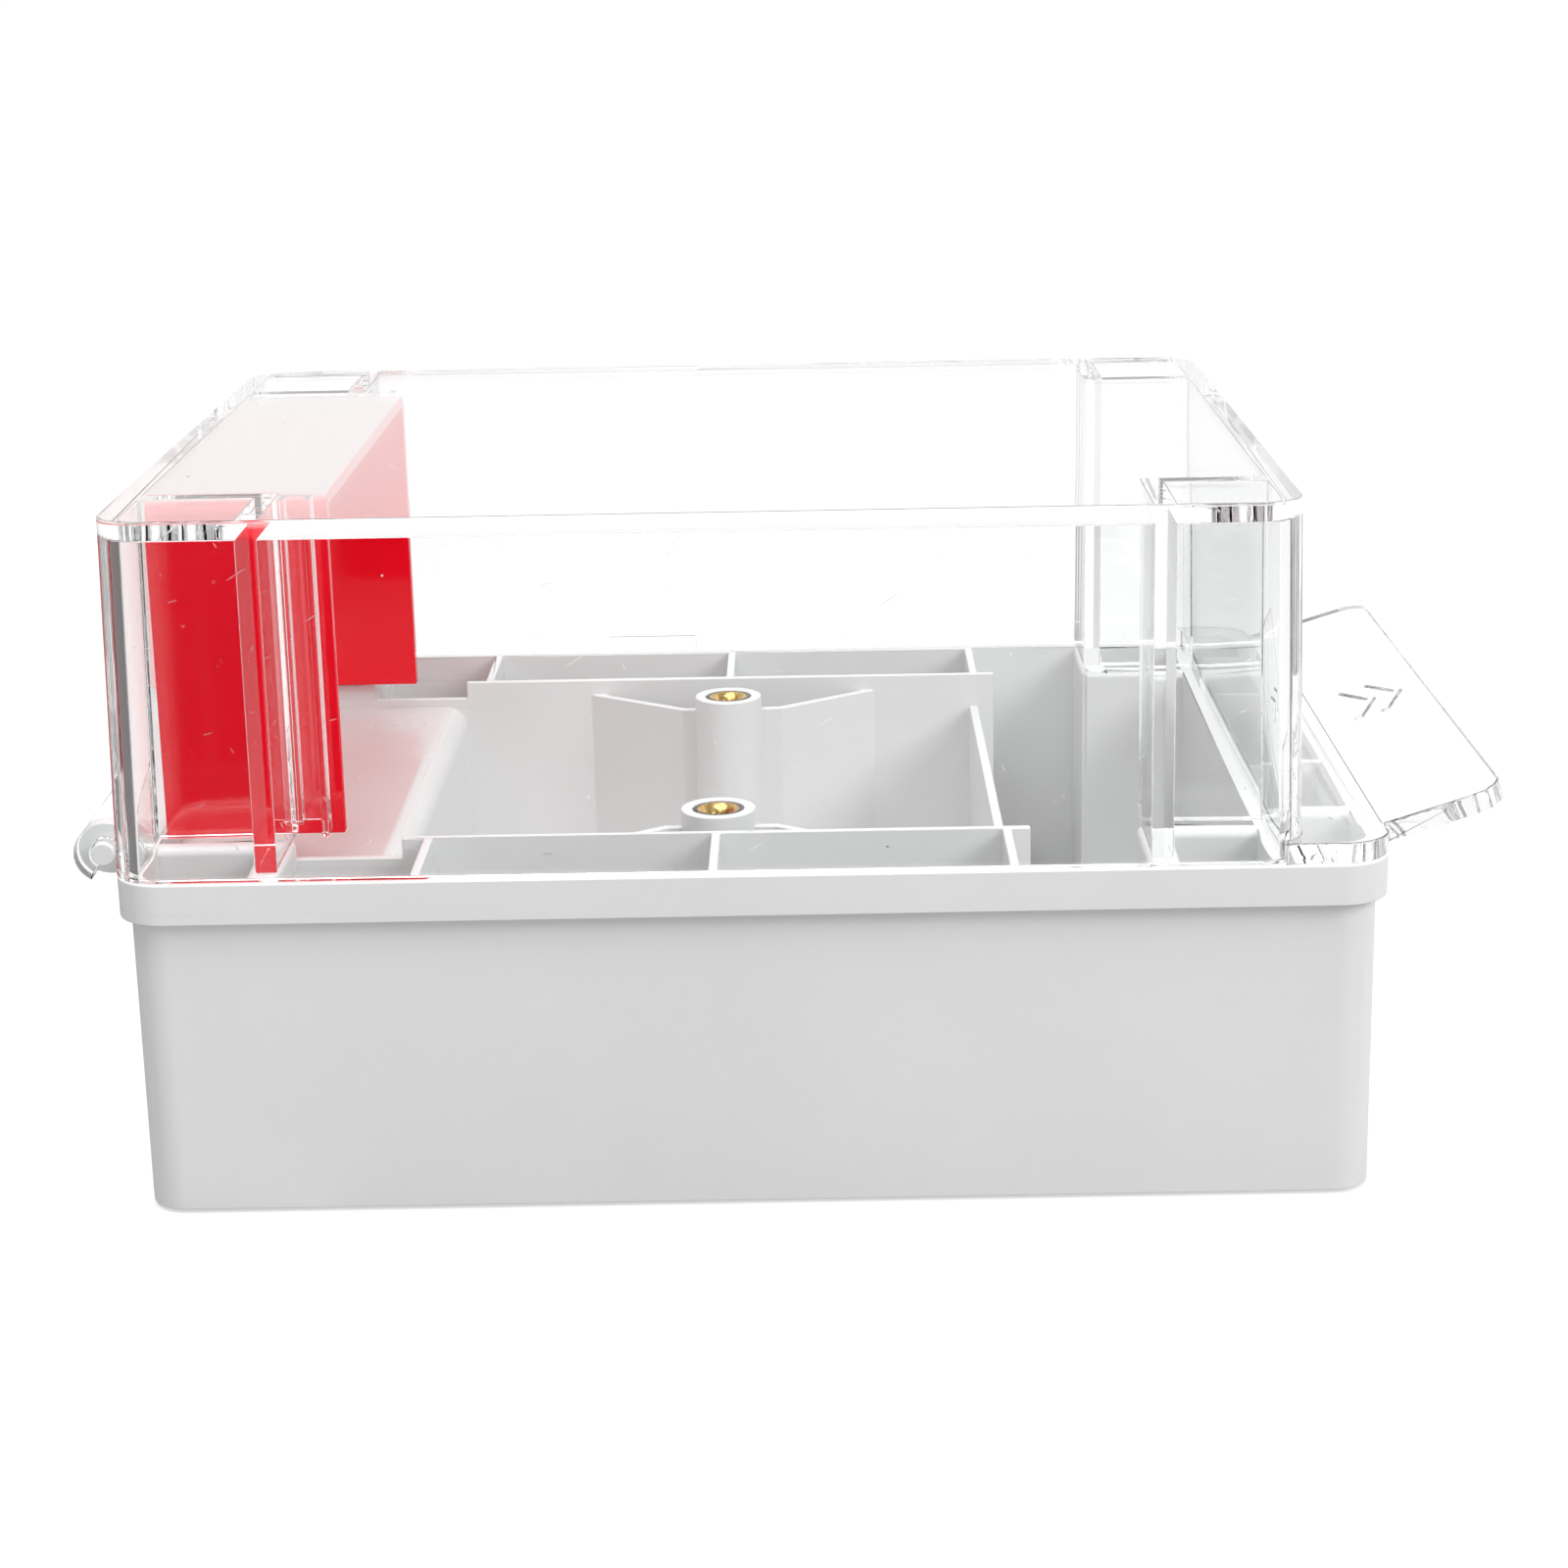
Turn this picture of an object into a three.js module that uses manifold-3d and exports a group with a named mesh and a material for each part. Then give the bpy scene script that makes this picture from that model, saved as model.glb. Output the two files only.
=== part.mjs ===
// Gel electrophoresis tank: a moulded base with compartments, a clear hinged lid with four corner
// columns, a red shield hung inside the lid, brass inserts, electrodes and their sockets.
// Millimetres, +Z up. X runs from the hinge end (-X) to the lifting tab (+X), Y from front to back.
// Every piece is drawn about the middle of the base's rim, with Z = 0 on the table.
import * as THREE from "three";
import { mergeVertices } from "three/addons/utils/BufferGeometryUtils.js";
import Module from "manifold-3d";

const wasm = await Module();
wasm.setup();

// ---------------------------------------------------------------- driving dimensions
const GAP = 0.3; // clearance between pieces that touch

const RIM = { halfLength: 125, halfWidth: 95, height: 8.2, corner: 10, top: 70 };
const BODY = { halfLength: 123, halfWidth: 92, corner: 8, wall: 2.4, bottom: 0.8 };
const FLOOR_TOP = BODY.bottom + BODY.wall;
const INNER = {
  halfLength: BODY.halfLength - BODY.wall,
  halfWidth: BODY.halfWidth - BODY.wall,
  corner: BODY.corner - BODY.wall,
};
const SINK = 0.5; // how far joined pieces of one moulding run into each other

const LONG_WALL = { y: 64, thickness: 2, left: -71.5, right: 56, lowTop: 66 };
const CROSS_RIB = { at: [-66.1, -7.8, 51.2], thickness: 1.8 };
const LOW_RIB = { x: 51.2, thickness: 2, top: 62 };
const PAD_WALL = { width: 6.4, depth: 5, left: -99.5, right: 77.6, edge: 1.8 };
const END_WALL = { left: 101.6, right: 105.6 };
const END_CROSS = { y: 31, thickness: 2 };

const BOSS = { x: -7.8, y: 46.5, radius: 7.8 };
// A gusset leaves the boss square to it, bends away, and meets the long wall further out.
const GUSSET = { top: 66.5, thickness: 2, leftBend: 10.8, rightBend: 12.2, run: 22.4, offset: 1.5 };
const INSERT = { radius: 5.1, bore: 2.2, height: 10, sunk: 0.15, groove: 0.5 };

const LEDGE = { top: 64, right: -71.9, thickness: 2.4, round: 5.4 };
const BAY = { left: -119, right: -76, halfWidth: 61.4 };
const COVER = { thickness: 3 };
const COVER_POSTS = [-114, -81].flatMap((x) => [-56, 56].map((y) => [x, y]));
const POST_RADIUS = 3.6;
const SCREW = { head: 2.8, headHeight: 1.5, shank: 1.2, length: 12 };

const HINGE = { x: -131.3, z: 69, pin: 2.4, ring: 6, lug: 5.6 };
// The hook's web leaves its ring at one angle and climbs the lid's wall at another.
const HOOK = { leaves: 144, climbs: 52, intoWall: 1.2, mouth: 5, below: 10 };
const HINGE_Y = { lugInner: 60.2, lugOuter: 64.9, earInner: 65.2, earOuter: 70.2 };

const LID = {
  left: -124.8,
  right: 107.7,
  halfWidth: 95,
  bottom: RIM.top + GAP,
  top: 141.5,
  wall: 4,
  plate: 4.2,
  corner: 9,
  draft: 1.3,
};
const COLUMN = { rib: 4, leftX: -96.5, rightX: 77.8, y: 63, bottom: 71.5 };
const SHELF = { thickness: 4.3, right: 125 };
const TAB = { angle: 17.5, length: 24.6, halfWidth: 82, corner: 7, thickness: 4.2, root: 4 };
const LIFT_MARK = { at: [6.5, 12.5], arm: 11, rise: 5, stroke: 1.8, raised: 0.5 };
// The mould's gate leaves a pad low on the inside of the lid's rear wall.
const GATE_PAD = { left: -38.5, right: -16.8, outer: 3, inner: 5.2, height: 4 };

const SHIELD = { left: -119.1, right: -83.2, y: 62.5, sheet: 2.8, bottom: 70.8, bend: 4 };
const RAIL = { left: -92, right: -85.6, y: 63.4, depth: 5, sheet: 1.3, bottom: 74.2, foot: 71.8 };

const SOCKET = { y: 20, z: 38, barrel: 5.2, flange: 7.2, flangeDepth: 2.2, reach: 20, bore: 2.1 };
const NUT = { across: 14, depth: 3 };
const ELECTRODE = { leftX: -60, rightX: 68, leftReach: 57, rightReach: 83, z: 11, radius: 0.35, past: 4 };
const HOLDER = { size: 6, height: 11 };
const LEAD = { radius: 1.2, y: 72, z: 5.6, bayX: -99.5, play: 0.4 };
const LEAD_TAIL = { anode: 7, cathode: 5 }; // the last straight run into a wire's post
const LEAD_TURN = 3; // how far from a corner a lead starts to turn
const LEAD_DOOR = { halfWidth: 2.5, from: 55 };
const FOOT = { x: 103, y: 80, radius: 6, recess: 1.2 };

// ---------------------------------------------------------------- solids
function toSolid(geometry) {
  const plain = geometry.index ? geometry.toNonIndexed() : geometry.clone();
  plain.deleteAttribute("normal");
  plain.deleteAttribute("uv");
  const merged = mergeVertices(plain, 1e-4);
  return new wasm.Manifold(
    new wasm.Mesh({
      numProp: 3,
      vertProperties: new Float32Array(merged.attributes.position.array),
      triVerts: new Uint32Array(merged.index.array),
    }),
  );
}

function toGeometry(solid) {
  const mesh = solid.getMesh();
  const geometry = new THREE.BufferGeometry();
  geometry.setAttribute("position", new THREE.BufferAttribute(mesh.vertProperties, 3));
  geometry.setIndex(new THREE.BufferAttribute(mesh.triVerts, 1));
  geometry.computeVertexNormals();
  return geometry;
}

function joined(...solids) {
  return solids.flat().reduce((whole, next) => whole.add(next));
}

function block(x0, x1, y0, y1, z0, z1) {
  const box = new THREE.BoxGeometry(x1 - x0, y1 - y0, z1 - z0);
  box.translate((x0 + x1) / 2, (y0 + y1) / 2, (z0 + z1) / 2);
  return toSolid(box);
}

// A rectangle with rounded corners: one radius, or four that run round from the low corner.
function roundedOutline(x0, x1, y0, y1, radii) {
  const four = Array.isArray(radii) ? radii : Array(4).fill(radii);
  const [lowLeft, lowRight, highRight, highLeft] = four;
  const half = Math.PI / 2;
  const outline = new THREE.Shape();
  outline.absarc(x0 + lowLeft, y0 + lowLeft, lowLeft, -2 * half, -half);
  outline.absarc(x1 - lowRight, y0 + lowRight, lowRight, -half, 0);
  outline.absarc(x1 - highRight, y1 - highRight, highRight, 0, half);
  outline.absarc(x0 + highLeft, y1 - highLeft, highLeft, half, 2 * half);
  return outline;
}

function extruded(outline, depth, curveSegments = 6) {
  return new THREE.ExtrudeGeometry(outline, { depth, bevelEnabled: false, curveSegments });
}

function plate(x0, x1, y0, y1, radii, z0, z1) {
  return toSolid(extruded(roundedOutline(x0, x1, y0, y1, radii), z1 - z0).translate(0, 0, z0));
}

// The outline is drawn in X and Z, and runs from y0 to y1.
function sideProfile(outline, y0, y1, curveSegments) {
  const shape = extruded(outline, y1 - y0, curveSegments);
  return toSolid(shape.rotateX(Math.PI / 2).translate(0, y1, 0));
}

// The outline is drawn in Y and Z, and runs from x0 to x1.
function endProfile(outline, x0, x1, curveSegments) {
  const shape = extruded(outline, x1 - x0, curveSegments);
  shape.rotateX(Math.PI / 2).rotateZ(Math.PI / 2);
  return toSolid(shape.translate(x0, 0, 0));
}

function polygon(points) {
  return new THREE.Shape(points.map(([a, b]) => new THREE.Vector2(a, b)));
}

function drum(axis, centre, from, to, radius, sides = 32) {
  const cylinder = new THREE.CylinderGeometry(radius, radius, to - from, sides);
  const middle = (from + to) / 2;
  if (axis === "x") cylinder.rotateZ(Math.PI / 2).translate(middle, centre[0], centre[1]);
  if (axis === "y") cylinder.translate(centre[0], middle, centre[1]);
  if (axis === "z") cylinder.rotateX(Math.PI / 2).translate(centre[0], centre[1], middle);
  return toSolid(cylinder);
}

// A straight wall of one thickness between two points of the plan, with round ends.
function planWall([x0, y0], [x1, y1], thickness, z0, z1) {
  const length = Math.hypot(x1 - x0, y1 - y0);
  const r = thickness / 2;
  const wall = extruded(roundedOutline(-r, length + r, -r, r, r * 0.98), z1 - z0, 3);
  wall.rotateZ(Math.atan2(y1 - y0, x1 - x0)).translate(x0, y0, z0);
  return toSolid(wall);
}

const BOTH_SIDES = [-1, 1];
// Low and high Y of a band between two distances from the middle, on the front or the back.
function sideBand(side, near, far) {
  return side > 0 ? [near, far] : [-far, -near];
}

// ---------------------------------------------------------------- base moulding
function baseShell() {
  const { halfLength: bx, halfWidth: by } = BODY;
  const { halfLength: rx, halfWidth: ry } = RIM;
  const { halfLength: ix, halfWidth: iy } = INNER;
  const body = plate(-bx, bx, -by, by, BODY.corner, BODY.bottom, RIM.top);
  const rim = plate(-rx, rx, -ry, ry, RIM.corner, RIM.top - RIM.height, RIM.top);
  const hollow = plate(-ix, ix, -iy, iy, INNER.corner, FLOOR_TOP, RIM.top + 1);
  return body.add(rim).subtract(hollow);
}

function longWalls(side) {
  const half = LONG_WALL.thickness / 2;
  const [y0, y1] = sideBand(side, LONG_WALL.y - half, LONG_WALL.y + half);
  const z0 = FLOOR_TOP - SINK;
  return [
    block(LONG_WALL.left, LONG_WALL.right, y0, y1, z0, RIM.top),
    block(-INNER.halfLength - SINK, LONG_WALL.left + SINK, y0, y1, z0, LONG_WALL.lowTop),
  ];
}

function crossRibs(side) {
  const half = CROSS_RIB.thickness / 2;
  const [y0, y1] = sideBand(side, LONG_WALL.y, INNER.halfWidth + SINK);
  return CROSS_RIB.at.map((x) => block(x - half, x + half, y0, y1, FLOOR_TOP - SINK, RIM.top));
}

function paddedTop(a0, a1) {
  const e = PAD_WALL.edge;
  return roundedOutline(a0, a1, FLOOR_TOP - SINK, RIM.top, [0.1, 0.1, e, e]);
}

// The thick round-topped walls round a corner pocket, under the lid's corner columns.
function pocketWalls(side, end) {
  const x0 = end < 0 ? PAD_WALL.left : PAD_WALL.right;
  const x1 = x0 + PAD_WALL.width;
  const [y0, y1] = sideBand(side, LONG_WALL.y, INNER.halfWidth + SINK);
  const near = LONG_WALL.y - SINK;
  const [b0, b1] = sideBand(side, near, near + PAD_WALL.depth);
  const across = sideProfile(paddedTop(x0, x1), y0, y1, 3);
  const outerEnd = INNER.halfLength + SINK;
  const [l0, l1] = end < 0 ? [-outerEnd, x1 - 1] : [x0 + 1, outerEnd];
  return [across, endProfile(paddedTop(b0, b1), l0, l1, 3)];
}

function gussets(side) {
  const z0 = FLOOR_TOP - SINK;
  const leftBend = BOSS.x - GUSSET.leftBend;
  const rightBend = BOSS.x + GUSSET.rightBend;
  const bendY = side * (BOSS.y + GUSSET.offset);
  const rootY = side * LONG_WALL.y;
  const boss = [BOSS.x, bendY];
  const t = GUSSET.thickness;
  return [
    planWall([leftBend - GUSSET.run, rootY], [leftBend, bendY], t, z0, GUSSET.top),
    planWall([leftBend, bendY], boss, t, z0, GUSSET.top),
    planWall(boss, [rightBend, bendY], t, z0, GUSSET.top),
    planWall([rightBend, bendY], [rightBend + GUSSET.run, rootY], t, z0, GUSSET.top),
    drum("z", [BOSS.x, side * BOSS.y], z0, RIM.top, BOSS.radius, 48),
  ];
}

function ledge() {
  const { top, right, thickness, round } = LEDGE;
  const outline = new THREE.Shape();
  const left = -INNER.halfLength - SINK;
  outline.moveTo(left, top - thickness);
  outline.lineTo(right - thickness, top - thickness);
  outline.lineTo(right - thickness, FLOOR_TOP - SINK);
  outline.lineTo(right, FLOOR_TOP - SINK);
  outline.absarc(right - round, top - round, round, 0, Math.PI / 2);
  outline.lineTo(left, top);
  return sideProfile(outline, -LONG_WALL.y, LONG_WALL.y, 8);
}

function hingeLug(side) {
  const [y0, y1] = sideBand(side, HINGE_Y.lugInner, HINGE_Y.lugOuter);
  const arm = block(HINGE.x, -RIM.halfLength + SINK, y0, y1, HINGE.z - HINGE.lug, RIM.top - GAP);
  return drum("y", [HINGE.x, HINGE.z], y0, y1, HINGE.lug).add(arm);
}

// The ways cut through the ribs, the bay's wall and the ledge's wall for the two leads.
function leadChannel() {
  const clear = LEAD.radius + GAP + LEAD.play;
  const top = LEAD.z + clear;
  const [d0, d1] = [LEAD.bayX - LEAD_DOOR.halfWidth, LEAD.bayX + LEAD_DOOR.halfWidth];
  const [short0, short1] = [BAY.right - 4, LEDGE.right + 6];
  const backEnd = LOW_RIB.x + 9;
  const backRun = block(LEAD.bayX, backEnd, LEAD.y - clear, LEAD.y + clear, FLOOR_TOP, top);
  const bayDoor = block(d0, d1, LEAD_DOOR.from, LEAD.y, LEAD.z - clear, top);
  const shortRun = block(short0, short1, -SOCKET.y - clear, -SOCKET.y + clear, FLOOR_TOP, top);
  return joined(backRun, bayDoor, shortRun);
}

function baseMoulding() {
  const ridge = LOW_RIB.thickness / 2;
  const z0 = FLOOR_TOP - SINK;
  const outerY = INNER.halfWidth + SINK;
  const outerX = INNER.halfLength + SINK;
  const added = [
    block(LOW_RIB.x - ridge, LOW_RIB.x + ridge, -LONG_WALL.y, LONG_WALL.y, z0, LOW_RIB.top),
    block(END_WALL.left, END_WALL.right, -outerY, outerY, z0, RIM.top),
    ledge(),
  ];
  for (const side of BOTH_SIDES) {
    const crossY = side * END_CROSS.y;
    const half = END_CROSS.thickness / 2;
    const [c0, c1] = [crossY - half, crossY + half];
    added.push(block(END_WALL.right - SINK, outerX, c0, c1, z0, RIM.top));
    added.push(...longWalls(side), ...crossRibs(side), ...gussets(side), hingeLug(side));
    added.push(...pocketWalls(side, -1), ...pocketWalls(side, 1));
  }
  let base = joined(baseShell(), added);
  base = base.subtract(block(BAY.left, BAY.right, -BAY.halfWidth, BAY.halfWidth, 0, FLOOR_TOP + SINK));
  for (const [x, y] of COVER_POSTS) {
    const postFoot = BODY.bottom + COVER.thickness + GAP;
    base = base.add(drum("z", [x, y], postFoot, LEDGE.top - 1, POST_RADIUS, 16));
    base = base.subtract(drum("z", [x, y], 0, postFoot + SCREW.length, SCREW.shank + GAP, 12));
  }
  for (const side of BOTH_SIDES) {
    const seat = INSERT.radius + GAP;
    const depth = INSERT.height + GAP;
    base = base.subtract(drum("z", [BOSS.x, side * BOSS.y], RIM.top - depth, RIM.top + 1, seat));
    const pinHole = HINGE.pin + GAP;
    const [y0, y1] = sideBand(side, HINGE_Y.lugInner - 1, HINGE_Y.lugOuter + 1);
    base = base.subtract(drum("y", [HINGE.x, HINGE.z], y0, y1, pinHole, 24));
    const socketHole = SOCKET.barrel + GAP;
    const [x0, x1] = [-BODY.halfLength - 1, -INNER.halfLength + 1];
    base = base.subtract(drum("x", [side * SOCKET.y, SOCKET.z], x0, x1, socketHole, 24));
    for (const end of BOTH_SIDES) {
      const at = [end * FOOT.x, side * FOOT.y];
      base = base.subtract(drum("z", at, 0, BODY.bottom + FOOT.recess, FOOT.radius + GAP, 24));
    }
  }
  return base.subtract(leadChannel());
}

// ---------------------------------------------------------------- lid
// Narrows a shape towards the lid's top, as the moulding's draft does.
function drafted(geometry, narrowing) {
  const position = geometry.getAttribute("position");
  const middle = (LID.left + LID.right) / 2;
  const height = LID.top - LID.bottom;
  for (let i = 0; i < position.count; i += 1) {
    const share = (position.getZ(i) - LID.bottom) / height;
    const fromMiddle = position.getX(i) - middle;
    const halfX = (LID.right - LID.left) / 2;
    position.setX(i, middle + fromMiddle * (1 - (share * narrowing) / halfX));
    position.setY(i, position.getY(i) * (1 - (share * narrowing) / LID.halfWidth));
  }
  return geometry;
}

function lidShell() {
  const { left, right, halfWidth: w, wall, corner, bottom, top, draft } = LID;
  const outer = extruded(roundedOutline(left, right, -w, w, corner), top - bottom);
  const inset = roundedOutline(left + wall, right - wall, -w + wall, w - wall, corner - wall);
  const inner = extruded(inset, top - LID.plate - bottom + 1);
  return toSolid(drafted(outer.translate(0, 0, bottom), draft)).subtract(
    toSolid(drafted(inner.translate(0, 0, bottom - 1), draft)),
  );
}

// Two ribs that close off a square column in each corner of the lid.
function columnRibs(side, end) {
  const { rib, bottom, y } = COLUMN;
  const top = LID.top - LID.plate + SINK;
  const x = end < 0 ? COLUMN.leftX : COLUMN.rightX;
  const [a0, a1] = sideBand(side, y, LID.halfWidth - LID.wall + SINK / 2);
  const [b0, b1] = sideBand(side, y, y + rib);
  const outer = end < 0 ? LID.left + LID.wall - SINK / 2 : LID.right - LID.wall + SINK / 2;
  const [l0, l1] = end < 0 ? [outer, x + 1] : [x + 1, outer];
  return [block(x, x + rib, a0, a1, bottom, top), block(l0, l1, b0, b1, bottom, top)];
}

function shelf() {
  const { right, thickness } = SHELF;
  const w = LID.halfWidth;
  const x0 = LID.right - LID.wall;
  const z0 = LID.bottom;
  return plate(x0, right, -w, w, [0.1, RIM.corner, RIM.corner, 0.1], z0, z0 + thickness);
}

function liftingTab() {
  const { length, halfWidth, corner, thickness, root } = TAB;
  const outline = roundedOutline(-root, length, -halfWidth, halfWidth, [0.1, corner, corner, 0.1]);
  const sheet = toSolid(extruded(outline, thickness).translate(0, 0, -thickness));
  const marks = LIFT_MARK.at.map((x) => liftMark(x));
  const tilted = sheet.add(joined(marks)).rotate([0, -TAB.angle, 0]);
  const placed = tilted.translate([SHELF.right - GAP, 0, LID.bottom + SHELF.thickness]);
  const [x0, x1] = [LID.right - LID.corner * 2, RIM.halfLength + LID.corner];
  return placed.subtract(block(x0, x1, -RIM.halfWidth, RIM.halfWidth, BODY.bottom, LID.bottom));
}

// A raised chevron that points away from the lid, to say which way the tab lifts.
function liftMark(x) {
  const { arm, rise, stroke, raised } = LIFT_MARK;
  const chevron = polygon([
    [x, -arm],
    [x + stroke, -arm],
    [x + rise + stroke, 0],
    [x + stroke, arm],
    [x, arm],
    [x + rise, 0],
  ]);
  return toSolid(extruded(chevron, raised + SINK).translate(0, 0, -SINK));
}

// An open hook that drops over the hinge pin and swings round it.
function hingeEar(side) {
  const [y0, y1] = sideBand(side, HINGE_Y.earInner, HINGE_Y.earOuter);
  const { x, z, ring } = HINGE;
  const tangent = THREE.MathUtils.degToRad(HOOK.leaves);
  const touch = [x + ring * Math.cos(tangent), z + ring * Math.sin(tangent)];
  const wallX = LID.left + HOOK.intoWall;
  const reach = wallX - touch[0];
  const slope = THREE.MathUtils.degToRad(HOOK.climbs);
  const web = polygon([
    [x, LID.bottom],
    [wallX, LID.bottom],
    [wallX, touch[1] + reach * Math.tan(slope)],
    touch,
    [x - ring + 0.6, z],
  ]);
  const mouth = polygon([
    [x, z],
    [x - HOOK.mouth, z - HOOK.below],
    [x + HOOK.below, z - HOOK.below],
    [x + HOOK.below, LID.bottom],
    [x, LID.bottom],
  ]);
  const hole = drum("y", [x, z], y0 - 1, y1 + 1, HINGE.pin + GAP, 32);
  return drum("y", [x, z], y0, y1, ring, 40)
    .subtract(sideProfile(mouth, y0 - 1, y1 + 1))
    .add(sideProfile(web, y0, y1))
    .subtract(hole);
}

function lid() {
  const parts = [lidShell(), shelf(), liftingTab()];
  for (const side of BOTH_SIDES) {
    parts.push(hingeEar(side), ...columnRibs(side, -1), ...columnRibs(side, 1));
  }
  const { left, right, outer, inner, height } = GATE_PAD;
  const [y0, y1] = [LID.halfWidth - inner, LID.halfWidth - outer];
  return joined(parts, block(left, right, y0, y1, LID.bottom, LID.bottom + height));
}

// ---------------------------------------------------------------- pieces in the lid
// One red sheet bent down at its front and back edges.
function redShield() {
  const { left, right, y, sheet, bottom, bend } = SHIELD;
  const top = LID.top - LID.plate - GAP;
  const inner = bend - sheet;
  const outside = roundedOutline(-y, y, bottom, top, [0.1, 0.1, bend, bend]);
  const inside = roundedOutline(-y + sheet, y - sheet, bottom - 1, top - sheet, [0.1, 0.1, inner, inner]);
  return endProfile(outside, left, right, 5).subtract(endProfile(inside, left - 1, right + 1, 5));
}

// A channel against the outside of the shield: a web with two legs, one of them longer.
function shieldRail(side) {
  const { left, right, y, depth, sheet, bottom, foot } = RAIL;
  const top = LID.top - LID.plate - GAP;
  const [w0, w1] = sideBand(side, y, y + sheet);
  const [y0, y1] = sideBand(side, y, y + depth);
  return joined(
    block(left, right, w0, w1, bottom, top),
    block(left, left + sheet, y0, y1, bottom, top),
    block(right - sheet, right, y0, y1, foot, top),
  );
}

// ---------------------------------------------------------------- metal, rubber and electrical pieces
function brassInsert(side) {
  const top = RIM.top - INSERT.sunk;
  const bottom = RIM.top - INSERT.height;
  const { radius, bore, groove } = INSERT;
  const chamfer = 0.8;
  const middle = (top + bottom) / 2;
  const profile = [
    [bore, bottom],
    [radius, bottom],
    [radius, middle - 1],
    [radius - groove, middle - 1],
    [radius - groove, middle + 1],
    [radius, middle + 1],
    [radius, top],
    [bore + chamfer, top],
    [bore, top - chamfer],
    [bore, bottom],
  ].map(([r, z]) => new THREE.Vector2(r, z));
  const ring = new THREE.LatheGeometry(profile, 32).rotateX(Math.PI / 2);
  return toSolid(ring.translate(BOSS.x, side * BOSS.y, 0));
}

function hingePin(side) {
  const [y0, y1] = sideBand(side, HINGE_Y.lugInner + GAP, HINGE_Y.earOuter + GAP);
  return drum("y", [HINGE.x, HINGE.z], y0, y1, HINGE.pin, 24);
}

function rubberFoot(end, side) {
  const at = [end * FOOT.x, side * FOOT.y];
  return drum("z", at, 0, BODY.bottom + FOOT.recess - GAP, FOOT.radius, 24);
}

function bayCover() {
  const inset = GAP;
  const z0 = BODY.bottom;
  const z1 = z0 + COVER.thickness;
  const h = BAY.halfWidth - inset;
  let cover = plate(BAY.left + inset, BAY.right - inset, -h, h, 1, z0, z1);
  for (const at of COVER_POSTS) {
    cover = cover.subtract(drum("z", at, 0, z1 + 1, SCREW.shank + GAP, 12));
    cover = cover.subtract(drum("z", at, 0, z0 + SCREW.headHeight + GAP, SCREW.head + GAP, 20));
  }
  return cover;
}

function coverScrew([x, y]) {
  const z0 = BODY.bottom;
  const head = drum("z", [x, y], z0, z0 + SCREW.headHeight, SCREW.head, 20);
  return head.add(drum("z", [x, y], z0 + SCREW.headHeight - 0.2, z0 + SCREW.length, SCREW.shank, 12));
}

// A shrouded 4 mm panel socket: a flange outside the end wall and a barrel that runs into the bay.
function panelSocket(side) {
  const centre = [side * SOCKET.y, SOCKET.z];
  const face = -BODY.halfLength - GAP;
  const front = face - SOCKET.flangeDepth;
  const flange = drum("x", centre, front, face, SOCKET.flange, 32);
  const barrel = drum("x", centre, face - 0.2, face + SOCKET.reach, SOCKET.barrel, 24);
  const bore = drum("x", centre, front - 1, face + SOCKET.reach - 3, SOCKET.bore, 20);
  return flange.add(barrel).subtract(bore);
}

function socketNut(side) {
  const centre = [side * SOCKET.y, SOCKET.z];
  const x0 = -INNER.halfLength + GAP;
  const hexagon = drum("x", centre, x0, x0 + NUT.depth, NUT.across / Math.sqrt(3), 6);
  return hexagon.subtract(drum("x", centre, x0 - 1, x0 + NUT.depth + 1, SOCKET.barrel + GAP, 24));
}

function electrodeWire(x, reach) {
  return drum("y", [x, ELECTRODE.z], -reach, reach, ELECTRODE.radius, 8);
}

// A small post that stands on the floor and holds one end of a wire in its bore.
function wireHolder(x, y) {
  const half = HOLDER.size / 2;
  const z0 = FLOOR_TOP + GAP;
  const post = block(x - half, x + half, y - half, y + half, z0, z0 + HOLDER.height);
  const bore = drum("y", [x, ELECTRODE.z], y - half - 1, y + half + 1, ELECTRODE.radius + GAP, 12);
  return post.subtract(bore);
}

// A lead that runs straight between points and turns each corner in a short curve.
function leadAlong(points) {
  const route = new THREE.CurvePath();
  const corners = points.map((p) => new THREE.Vector3(...p));
  let from = corners[0];
  for (let i = 1; i < corners.length - 1; i += 1) {
    const corner = corners[i];
    const [last, next] = [corners[i - 1], corners[i + 1]];
    const before = corner.clone().lerp(last, LEAD_TURN / corner.distanceTo(last));
    const after = corner.clone().lerp(next, LEAD_TURN / corner.distanceTo(next));
    route.add(new THREE.LineCurve3(from, before));
    route.add(new THREE.QuadraticBezierCurve3(before, corner, after));
    from = after;
  }
  route.add(new THREE.LineCurve3(from, corners[corners.length - 1]));
  const section = new THREE.Shape().absarc(0, 0, LEAD.radius, 0, 2 * Math.PI);
  const steps = Math.min(60, Math.round(route.getLength() / (2.5 * LEAD.radius)));
  const options = { extrudePath: route, steps, bevelEnabled: false, curveSegments: 8 };
  return toSolid(new THREE.ExtrudeGeometry(section, options));
}

function anodeLead() {
  const start = -BODY.halfLength + SOCKET.reach + GAP;
  const postX = ELECTRODE.rightX - HOLDER.size / 2 - GAP;
  return leadAlong([
    [start, SOCKET.y, SOCKET.z],
    [LEAD.bayX, SOCKET.y, SOCKET.z],
    [LEAD.bayX, SOCKET.y, LEAD.z],
    [LEAD.bayX, LEAD.y, LEAD.z],
    [postX - LEAD_TAIL.anode, LEAD.y, LEAD.z],
    [postX - LEAD_TAIL.anode, ELECTRODE.rightReach, LEAD.z],
    [postX, ELECTRODE.rightReach, LEAD.z],
  ]);
}

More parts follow.
